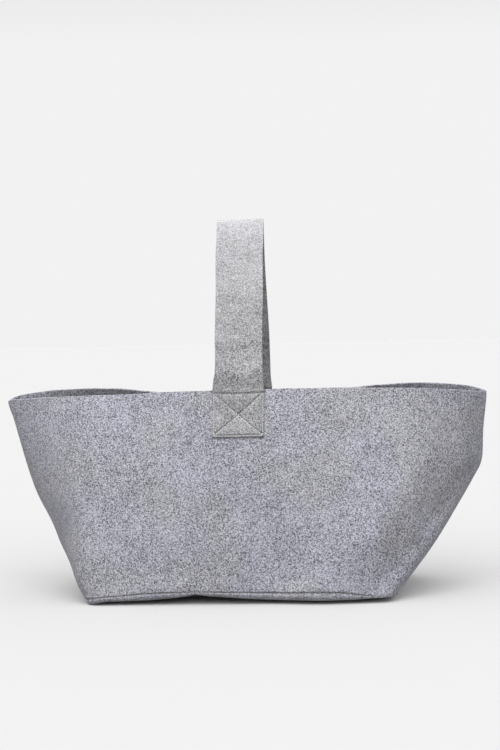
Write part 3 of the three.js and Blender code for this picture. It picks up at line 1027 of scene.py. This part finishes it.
class BASKET_OT_base(Operator):
    """Lays the felt base panel and turns its edge up inside the wall"""

    bl_idname = "basket.base"
    bl_label = "Felt Base"

    def execute(self, context):
        length = BASE_LENGTH + 2 * TURNED_UP
        depth = BASE_DEPTH + 2 * TURNED_UP
        across = cells(length, BASE_CELL, TURNED_ROWS, TURNED_ROWS)
        along = cells(depth, BASE_CELL, TURNED_ROWS, TURNED_ROWS)
        base, i, j, face = cut_sheet("felt_base", across, along)
        lay_sheet(base, self.place(across[i] - length / 2, along[j] - depth / 2, length, depth, face))
        wear(base, felt_material("base_felt", WALL_TINT))
        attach(base, "basket")
        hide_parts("base")
        return {"FINISHED"}

    def place(self, x, y, length, depth, face):
        """Where each point of the cut panel lies: flat inside, then round the bend and up the wall."""
        inward = np.minimum(length / 2 - np.abs(x), depth / 2 - np.abs(y))
        turn = self.side_turn(x, y, length / 2 - inward, depth / 2 - inward)
        point, normal = base_outline(turn)
        lift = edge_lift(point)

        # up the wall
        rise = np.clip(FLANGE_HEIGHT - inward, 0, FLANGE_HEIGHT) / wall_height(FRONT_TURN)
        on_wall = off_wall(turn, rise, face * HALF - LAYER)

        # round the bend
        share = np.clip((inward - FLANGE_HEIGHT) / BEND_ARC, 0, 1)
        roll = slope(np.abs(point[:, 1]), *ROLL_SLOPE)
        line, out = rolled_edge(share, point[:, 2] - lift, roll)
        line = line + out * (face * HALF)[:, None]
        rounded = point + normal * line[:, :1]
        rounded[:, 2] = lift + line[:, 1]

        # flat, its outline eased from the rounded corners to the straight cut
        within = np.clip(inward - FLANGE_HEIGHT - BEND_ARC, 0, None)
        flat = point + normal * (-BASE_INSET - within[:, None])
        ease = smooth(within / STRAIGHT_WITHIN)
        turned_up = FLANGE_HEIGHT + BEND_ARC
        for axis, (cut, side, outline) in enumerate(
            ((x, length / 2, OUTLINE_LENGTH), (y, depth / 2, OUTLINE_DEPTH))
        ):
            straight = cut / (side - turned_up) * (outline - BASE_INSET)
            flat[:, axis] = flat[:, axis] * (1 - ease) + straight * ease
        flat[:, 2] = HALF - face * HALF + lift * (1 - smooth(within / LIFTED_WITHIN))
        points = np.where((inward < FLANGE_HEIGHT)[:, None], on_wall, rounded)
        return np.where((within > 0)[:, None], flat, points)

    def side_turn(self, x, y, reach_x, reach_y):
        """The turn round the outline at which each point of the cut lies, square by square inwards."""
        corner = CORNER_MIDDLE / 4
        u = np.clip(x / np.maximum(reach_x, MM), -1, 1)
        v = np.clip(y / np.maximum(reach_y, MM), -1, 1)
        on_end = np.abs(np.abs(x) - reach_x) < np.abs(np.abs(y) - reach_y) + 1e-9
        end = np.where(x < 0, -v * corner, 0.5 + v * corner)
        front = FRONT_TURN + u * (0.25 - corner)
        back = BACK_TURN - u * (0.25 - corner)
        return np.where(on_end, end, np.where(y < 0, front, back))


# Handle strap. Its bend lines lie where the joints do, in Y and Z.

joints = {joint["name"]: np.array(joint["pos_m"][1:]) for joint in frame["joints"]}
FRONT_BEND = joints["handle_sway"]
FRONT_KNEE = joints["arch_level"]
BACK_KNEE = joints["back_leg_sway"]
BACK_BEND = BACK_KNEE - np.array([0, LEG_LENGTH])
ARCH_MIDDLE = (FRONT_BEND[0] + BACK_BEND[0]) / 2
ARCH_HALF = (BACK_BEND[0] - FRONT_BEND[0]) / 2
ARCH_TOP = cad_high.z - HALF

STRAP_STEP = 1.0 * MM
STRAP_COLUMNS = 27
ARCH_POINTS = 4001
BEND_PASSES = 28


def sewn_rows(x, sewn, front):
    """Rows of the sewn end, at distances below the rim."""
    share = x / WALL_LENGTH
    turn = FRONT_TURN + share if front else BACK_TURN - share
    rise = 1 - sewn[:, None] / wall_height(FRONT_TURN if front else BACK_TURN)
    return off_wall(turn[None, :], rise, LAYER)


def strap_run(x):
    """Rows of middle points of the whole strap at columns x, from its front end to its back end."""
    sewn = np.arange(SEWN_LENGTH, HALF, -STRAP_STEP)
    front = sewn_rows(x + FRONT_END_PLACE, sewn, True)
    back = sewn_rows(x, sewn, False)[::-1]
    leg = np.arange(0, LEG_LENGTH, STRAP_STEP)
    front_leg = FRONT_BEND + np.stack([np.zeros_like(leg), leg], -1)
    back_leg = BACK_BEND + np.stack([np.zeros_like(leg), leg], -1)[::-1]
    side = np.linspace(-1, 1, ARCH_POINTS)
    foot = np.where(side < 0, FRONT_KNEE[1], BACK_KNEE[1])
    arch_z = ARCH_TOP - (ARCH_TOP - foot) * np.abs(side) ** ARCH_POWER
    arch = np.stack([ARCH_MIDDLE + ARCH_HALF * side, arch_z], -1)
    lengths = lengths_along(arch)
    arch = at_lengths(np.linspace(0, lengths[-1], round(lengths[-1] / STRAP_STEP) + 1), lengths, arch)
    free = np.concatenate([front_leg, arch, back_leg])
    bend = np.where(np.arange(len(free)) < len(free) / 2, FRONT_BEND[1], BACK_BEND[1])
    low = 1 - smooth((free[:, 1] - bend) / STRAP_FLARE)[:, None]
    width = STRAP_WIDTH / SEWN_WIDTH
    columns = x * (width + (1 - width) * low)
    columns[: len(leg)] += FRONT_END_PLACE * low[: len(leg)]
    free = np.stack([columns, *(np.repeat(free[:, k, None], len(x), 1) for k in (0, 1))], -1)
    return soften_run(np.concatenate([front, free, back]))


def soften_run(run):
    """Rounds the strap's bends along its length, leaving its two ends where they are."""
    for _ in range(BEND_PASSES):
        run[1:-1] = (2 * run[1:-1] + run[:-2] + run[2:]) / 4
    return run


def top_row(run):
    """The row of the strap's highest point, on its middle line."""
    return int(np.argmax(run[:, run.shape[1] // 2, 2]))


def through_open_bend(run):
    """Carries the strap's back exactly through its open bend line, where its two ends turn clear."""
    top = top_row(run)
    for column in range(run.shape[1]):
        y, z = run[top:, column, 1], run[top:, column, 2]
        drift = np.interp(-BACK_BEND[1], -z, y) - BACK_BEND[0]
        y -= drift * bump(z, BACK_BEND[1], OPEN_BEND_REACH)
    return run


class StrapPath:
    """The strap's middle surface: points and normals at any column and distance from its front end."""

    def __init__(self):
        self.x = np.linspace(-SEWN_WIDTH / 2, SEWN_WIDTH / 2, STRAP_COLUMNS)
        self.run = self.shaped(strap_run(self.x))
        self.top = top_row(self.run)
        self.middle = self.run[:, STRAP_COLUMNS // 2]
        self.at = lengths_along(self.middle)
        self.length = self.at[-1]

    def shaped(self, run):
        """Adds the strap's slight twist, its lean, its swells above the rim and its bow to the left."""
        shape = bpy.context.scene.basket_shape
        height = run[..., 2]
        up = (height - FRONT_KNEE[1]) / (ARCH_TOP - FRONT_KNEE[1])
        turn = shape.strap_twist * smooth(up * TWIST_HASTE)
        y = run[..., 1] - ARCH_MIDDLE
        x = run[..., 0]
        run = run.copy()
        run[..., 0] = x * np.cos(turn) - y * np.sin(turn)
        run[..., 1] = ARCH_MIDDLE + x * np.sin(turn) + y * np.cos(turn)
        above = height - FRONT_BEND[1]
        lean = shape.strap_lean * bump(height, FRONT_KNEE[1], LEAN_REACH) * slope(above, *LEAN_UP)
        swell = shape.strap_ripple * bump(above, *RIPPLE_AT)
        run[..., 1] += np.where(y < 0, lean - swell, RIPPLE_BACK * swell - lean)
        run[..., 0] -= hills(height, STRAP_BOW) * smooth(-y / BOW_DEPTH)
        return through_open_bend(run)

    def point(self, x, s):
        u = (x - self.x[0]) / (self.x[1] - self.x[0])
        v = np.interp(s, self.at, np.arange(len(self.at)))
        column = np.clip(np.floor(u).astype(int), 0, len(self.x) - 2)
        row = np.clip(np.floor(v).astype(int), 0, len(self.at) - 2)
        return between(self.run, row, column, column + 1, (v - row)[:, None], (u - column)[:, None])

    def normal(self, x, s):
        step = NORMAL_CELLS * STRAP_STEP
        across = self.point(np.minimum(x + step, self.x[-1]), s)
        across -= self.point(np.maximum(x - step, self.x[0]), s)
        along = self.point(x, np.minimum(s + step, self.length))
        along -= self.point(x, np.maximum(s - step, 0))
        return unit(np.cross(across, along))

    def distance_at_height(self, z, front):
        """The distance along the strap at which its middle reaches a height, on its front or back."""
        height = self.middle[:, 2]
        if front:
            return float(np.interp(z, height[: self.top], self.at[: self.top]))
        return float(np.interp(-z, -height[self.top :], self.at[self.top :]))


def line_distance(x, y, start, end):
    """Distances of points from a straight row of stitches."""
    along = np.array(end) - np.array(start)
    share = ((x - start[0]) * along[0] + (y - start[1]) * along[1]) / (along @ along)
    share = np.clip(share, 0, 1)
    return np.hypot(x - start[0] - share * along[0], y - start[1] - share * along[1])


def box_rows():
    """The rows of the box and its cross on a sewn end: their ends, across and below the rim."""
    side = SEWN_WIDTH / 2 - BOX_MARGIN
    top = SEAM_MARGIN
    bottom = SEWN_LENGTH - BOX_MARGIN
    corners = [(-side, top), (side, top), (side, bottom), (-side, bottom)]
    rows = [(corners[k], corners[(k + 1) % 4]) for k in range(4)]
    return [*rows, (corners[0], corners[2]), (corners[1], corners[3])]


def box_relief(x, below):
    """How far the felt of a sewn end stands out: pressed in at the stitches, puffed between them."""
    shape = bpy.context.scene.basket_shape
    near = np.min([line_distance(x, below, *row) for row in box_rows()], axis=0)
    to_edge = np.minimum(SEWN_WIDTH / 2 - np.abs(x), SEWN_LENGTH - below)
    groove = bump(near, 0, GROOVE_WIDTH)
    groove = np.where(to_edge < BOX_MARGIN, np.maximum(groove, EDGE_GROOVE), groove)
    swell = 1 - bump(near, 0, PUFF_REACH)
    middle = (SEWN_LENGTH + SEAM_MARGIN - BOX_MARGIN) / 2
    dish = 1 - np.sqrt(((below - middle) / middle) ** 2 + DISH_BLUNT)
    return shape.puff * swell - shape.dish * dish - shape.press * groove


class BASKET_OT_strap(Operator):
    """Sews the felt strap to the front wall and carries it over the mouth to the back wall"""

    bl_idname = "basket.strap"
    bl_label = "Felt Strap"

    def execute(self, context):
        path = StrapPath()
        # The strap's felt is painted paler towards its top and darker below the rim: painted light and
        # shade.
        felt = felt_material("strap_felt", STRAP_TINT, STRAP_LIT_HEIGHTS)
        front_cut = path.distance_at_height((FRONT_BEND[1] + FRONT_KNEE[1]) / 2, True)
        top_cut = float(path.at[path.top])
        back_open = path.distance_at_height(BACK_BEND[1], False)
        front, front_over, back_over, back = (
            self.stretch(path, felt, *cut)
            for cut in (
                ("strap_front", 0, front_cut, ROUNDED, PLAIN),
                ("strap_front_over", front_cut, top_cut, PLAIN, PLAIN),
                ("strap_back_over", top_cut, back_open - BEND_GAP / 2, PLAIN, THINNED),
                ("strap_back", back_open + BEND_GAP / 2, path.length, THINNED, ROUNDED),
            )
        )
        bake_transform(front)
        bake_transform(front_over)
        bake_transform(back_over)
        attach(back, "basket")
        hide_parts("strap_front_end", "strap_front_leg")
        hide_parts("strap_arch")
        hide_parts("strap_back_leg")
        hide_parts("strap_back_end")
        return {"FINISHED"}

    def stretch(self, path, felt, name, start, end, first, last):
        """One stretch of the strap between two distances along it, with its two kinds of end."""
        sewn = first is ROUNDED or last is ROUNDED
        cell = SEWN_CELL if sewn else STRAP_CELL
        across = cells(SEWN_WIDTH, cell, ROUNDED, ROUNDED)
        along = cells(end - start, cell, first, last)
        piece, i, j, face = cut_sheet(name, across, along)
        x = across[i] - SEWN_WIDTH / 2
        s = start + along[j]
        half = half_thickness(np.minimum(across[i], SEWN_WIDTH - across[i]), ROUNDED)
        half = np.minimum(half, half_thickness(along[j], first))
        half = np.minimum(half, half_thickness(end - start - along[j], last))
        distance = face * half
        for below in (SEWN_LENGTH - s, SEWN_LENGTH - (path.length - s)):
            on_wall = slope(below, *ON_WALL)
            outer = np.maximum(2 * half + box_relief(x, below), LEAST_FELT) - HALF
            pressed = np.where(face > 0, outer, -HALF)
            distance += on_wall * (pressed - face * half)
        lay_sheet(piece, path.point(x, s) + path.normal(x, s) * distance[:, None], 0)
        wear(piece, felt)
        return piece


# Stitching


def stitch_shape():
    """One short stitch along X, round above and sunk at both ends: its points and faces."""
    deselect()
    bpy.ops.mesh.primitive_uv_sphere_add(segments=8, ring_count=6, radius=1)
    ball = bpy.context.object
    bpy.ops.object.mode_set(mode="EDIT")
    bpy.ops.mesh.select_all(action="SELECT")
    bpy.ops.transform.rotate(value=RIGHT_ANGLE, orient_axis="Y", center_override=(0, 0, 0))
    bpy.ops.object.mode_set(mode="OBJECT")
    points = np.array([v.co for v in ball.data.vertices])
    faces = [list(p.vertices) for p in ball.data.polygons]
    bpy.data.objects.remove(ball)
    return points, faces


def sew(name, rows, node, thread, stitch, gap, thick):
    """Rows of single stitches. Each row is its points and outward directions, close together."""
    ball, faces = stitch_shape()
    vertices = []
    polygons = []
    for points, normals in rows:
        at = lengths_along(points)
        count = max(1, round(at[-1] / (stitch + gap)))
        pitch = at[-1] / count
        size = np.array([pitch * stitch / (stitch + gap) / 2, thick / 2, thick / 2])
        middle = (np.arange(count) + 0.5) * pitch
        here, before, after = (
            at_lengths(middle + shift, at, points) for shift in (0, -stitch / 2, stitch / 2)
        )
        along = unit(after - before)
        out = at_lengths(middle, at, normals)
        out = unit(out - along * np.sum(out * along, -1, keepdims=True))
        turned = np.stack([along, np.cross(out, along), out], 1)
        for k in range(count):
            first = len(vertices)
            vertices.extend((ball * size) @ turned[k] + here[k])
            polygons.extend([[first + v for v in face] for face in faces])
    mesh = bpy.data.meshes.new(name)
    mesh.from_pydata([tuple(v) for v in vertices], [], polygons)
    mesh.update()
    piece = bpy.data.objects.new(name, mesh)
    bpy.context.scene.collection.objects.link(piece)
    pick(piece)
    bpy.ops.object.mode_set(mode="EDIT")
    bpy.ops.mesh.select_all(action="SELECT")
    bpy.ops.mesh.normals_make_consistent(inside=False)
    bpy.ops.object.mode_set(mode="OBJECT")
    bpy.ops.object.shade_smooth()
    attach(piece, "basket")
    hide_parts(node)
    wear(piece, thread)


class BASKET_OT_stitching(Operator):
    """Sews the boxes on the strap ends, the row round the base and the row down the lap"""

    bl_idname = "basket.stitching"
    bl_label = "Stitching"

    def execute(self, context):
        thread = thread_material("box_thread")
        path = StrapPath()
        self.box(path, thread, "front_box_thread", "front_box_stitching", True)
        self.box(path, thread, "back_box_thread", "back_box_stitching", False)
        # The seam thread is 0.4 of the thread colour, near the felt's own tone; under the wall's lip
        # its dark dashes also stand in for the shade there, as painted shade. The lap row uses the same
        # thread.
        shaded = thread_material("seam_thread", 0.4)
        self.base_row(shaded)
        self.lap_row(shaded)
        return {"FINISHED"}

    def box(self, path, thread, name, node, front):
        rows = []
        for start, end in box_rows():
            x, below = np.linspace(start, end, BOX_POINTS).T
            s = SEWN_LENGTH - below if front else path.length - SEWN_LENGTH + below
            normal = path.normal(x, s)
            lift = HALF + box_relief(x, below) + 2 * THREAD_RISE
            rows.append((path.point(x, s) + normal * lift[:, None], normal))
        sew(name, rows, node, thread, *BOX_STITCH)

    def base_row(self, thread):
        """One row shows as dashes under the wall's lower edge, and one runs round the inside."""
        after, before = BASE_ROW_SHORT
        turn = LAP_START + LAP_SHARE + np.linspace(after, 1 - before, BASE_POINTS)
        point, normal = base_outline(turn)
        outer = point + normal * BASE_ROW_OUT
        outer[:, 2] -= BASE_ROW_DOWN
        rise = SEAM_MARGIN / wall_height(FRONT_TURN)
        inner = off_wall(turn, rise, -(HALF + CLEARANCE + FELT + THREAD_RISE))
        rows = [(outer, normal), (inner, -wall_normal(turn, rise))]
        sew("base_thread", rows, "base_stitching", thread, *BASE_STITCH)

    def lap_row(self, thread):
        turn = LAP_START + LAP_SHARE - SEAM_MARGIN / WALL_LENGTH
        height = wall_height(turn)
        rise = np.linspace(2 * SEAM_MARGIN / height, 1 - SEAM_MARGIN / height, LAP_POINTS)
        normal = wall_normal(turn, rise)
        outer = off_wall(turn, rise, LAYER + HALF + THREAD_RISE)
        inner = off_wall(turn, rise, -HALF - THREAD_RISE)
        rows = [(outer, normal), (inner, -normal)]
        sew("lap_thread", rows, "lap_stitching", thread, *LAP_STITCH)


# Studio

VIEW_FROM = Vector((210.9, -2326.5, 340)) * MM
VIEW_TURN = math.radians(5)
VIEW_DOWN = math.radians(1.37)
VIEW_ROLL = math.radians(1.25)
SENSOR = 36
FOCUS = 2.3467
VIEW_DEPTH = 200
LAMP_AIM = Vector((0, -50, 200)) * MM
FLOOR_SIZE = 120

# Where the room turns from one brightness to the next: over its horizon and at the window's top, as
# upward parts of a direction, and at the window's sides, as the part straight ahead of a level one
HORIZON_TOP = (0.16, 0.24)
WINDOW_TOP = (0.88, 0.92)
WINDOW_SIDE = (-0.5, -0.9)


class BASKET_OT_studio(Operator):
    """Adds the pale floor, the soft light and the camera"""

    bl_idname = "basket.studio"
    bl_label = "Studio"

    def execute(self, context):
        self.camera()
        self.floor()
        self.sky()
        self.lamps()
        return {"FINISHED"}

    def camera(self):
        level = Vector((math.cos(VIEW_TURN), math.sin(VIEW_TURN), 0))
        straight = Vector((-math.sin(VIEW_TURN), math.cos(VIEW_TURN), 0))
        ahead = straight * math.cos(VIEW_DOWN) - Vector((0, 0, math.sin(VIEW_DOWN)))
        upright = level.cross(ahead)
        right = level * math.cos(VIEW_ROLL) - upright * math.sin(VIEW_ROLL)
        up = level * math.sin(VIEW_ROLL) + upright * math.cos(VIEW_ROLL)
        bpy.ops.object.camera_add(location=VIEW_FROM)
        camera = bpy.context.object
        turned = Matrix((right, up, -ahead)).transposed().to_4x4()
        camera.matrix_world = Matrix.Translation(VIEW_FROM) @ turned
        camera.data.sensor_width = SENSOR
        camera.data.lens = SENSOR * FOCUS
        camera.data.clip_end = VIEW_DEPTH
        bpy.context.scene.camera = camera

    def lamps(self):
        """The soft lamps light the basket alone, so that the floor stays even."""
        studio = bpy.context.scene.basket_studio
        lit = bpy.data.collections.new(LIT)
        for place, power in (
            (Vector(studio.lamp_place), studio.lamp),
            (Vector(studio.back_lamp_place), studio.back_lamp),
        ):
            bpy.ops.object.light_add(type="AREA", location=place)
            lamp = bpy.context.object
            lamp.rotation_euler = (LAMP_AIM - place).to_track_quat("-Z", "Y").to_euler()
            lamp.data.shape = "DISK"
            lamp.data.size = studio.lamp_size
            lamp.data.energy = power
            lamp.light_linking.receiver_collection = lit

    def floor(self):
        deselect()
        bpy.ops.mesh.primitive_plane_add(size=FLOOR_SIZE, location=(0, 0, 0))
        floor = bpy.context.object
        floor.name = "floor"
        material, _, shader = new_material("pale_floor")
        colour = bpy.context.scene.basket_studio.floor_colour
        shader.inputs["Base Color"].default_value = (*colour, 1)
        shader.inputs["Roughness"].default_value = 1
        shader.inputs["Specular IOR Level"].default_value = 0
        floor.data.materials.append(material)

    def sky(self):
        """A plain white room with even light at its horizon and a wide window behind the viewer."""
        studio = bpy.context.scene.basket_studio
        world = bpy.data.worlds.new("studio")
        world.use_nodes = True
        bpy.context.scene.world = world
        tree = world.node_tree
        background = tree.nodes["Background"]
        view = add_node(tree, "ShaderNodeTexCoord", {})["Generated"]
        split = add_node(tree, "ShaderNodeSeparateXYZ", {0: view})
        x, y, up = (split[axis] for axis in "XYZ")
        level = math_node(tree, "MULTIPLY_ADD", x, x, math_node(tree, "MULTIPLY", y, y))
        level = math_node(tree, "MAXIMUM", math_node(tree, "SQRT", level), 0.001)
        ahead = math_node(tree, "DIVIDE", y, level)
        window = spread(tree, ahead, *WINDOW_SIDE, 0, studio.window - studio.room)
        below_top = spread(tree, up, *WINDOW_TOP, 1, 0)
        room = math_node(tree, "MULTIPLY_ADD", window, below_top, studio.room)
        above = spread(tree, up, *HORIZON_TOP)
        rise = math_node(tree, "MULTIPLY", above, math_node(tree, "SUBTRACT", room, studio.horizon))
        tree.links.new(math_node(tree, "ADD", rise, studio.horizon), background.inputs["Strength"])
        background.inputs["Color"].default_value = (1, 1, 1, 1)
        bpy.context.scene.view_settings.view_transform = "Standard"


class BASKET_PT_sidebar(Panel):
    bl_label = "Felt Basket"
    bl_idname = "BASKET_PT_sidebar"
    bl_space_type = "VIEW_3D"
    bl_region_type = "UI"
    bl_category = "Basket"

    def draw(self, context):
        for group in (getattr(context.scene, name) for name, _ in GROUPS):
            for name in group.__annotations__:
                self.layout.prop(group, name)
        for operator in OPERATORS:
            self.layout.operator(operator.bl_idname)


GROUPS = (
    ("basket_shape", BasketShape),
    ("basket_felt", BasketFelt),
    ("basket_studio", BasketStudio),
)
OPERATORS = (
    BASKET_OT_studio,
    BASKET_OT_wall,
    BASKET_OT_base,
    BASKET_OT_strap,
    BASKET_OT_stitching,
)


def register():
    for name, group in GROUPS:
        bpy.utils.register_class(group)
        setattr(bpy.types.Scene, name, PointerProperty(type=group))
    for operator in OPERATORS:
        bpy.utils.register_class(operator)
    bpy.utils.register_class(BASKET_PT_sidebar)


def unregister():
    bpy.utils.unregister_class(BASKET_PT_sidebar)
    for operator in reversed(OPERATORS):
        bpy.utils.unregister_class(operator)
    for name, group in reversed(GROUPS):
        delattr(bpy.types.Scene, name)
        bpy.utils.unregister_class(group)


def main():
    global surface
    register()
    surface = soft_wall()
    bpy.ops.basket.studio()
    bpy.ops.basket.wall()
    bpy.ops.basket.base()
    bpy.ops.basket.strap()
    bpy.ops.basket.stitching()


if __name__ == "__main__":
    main()
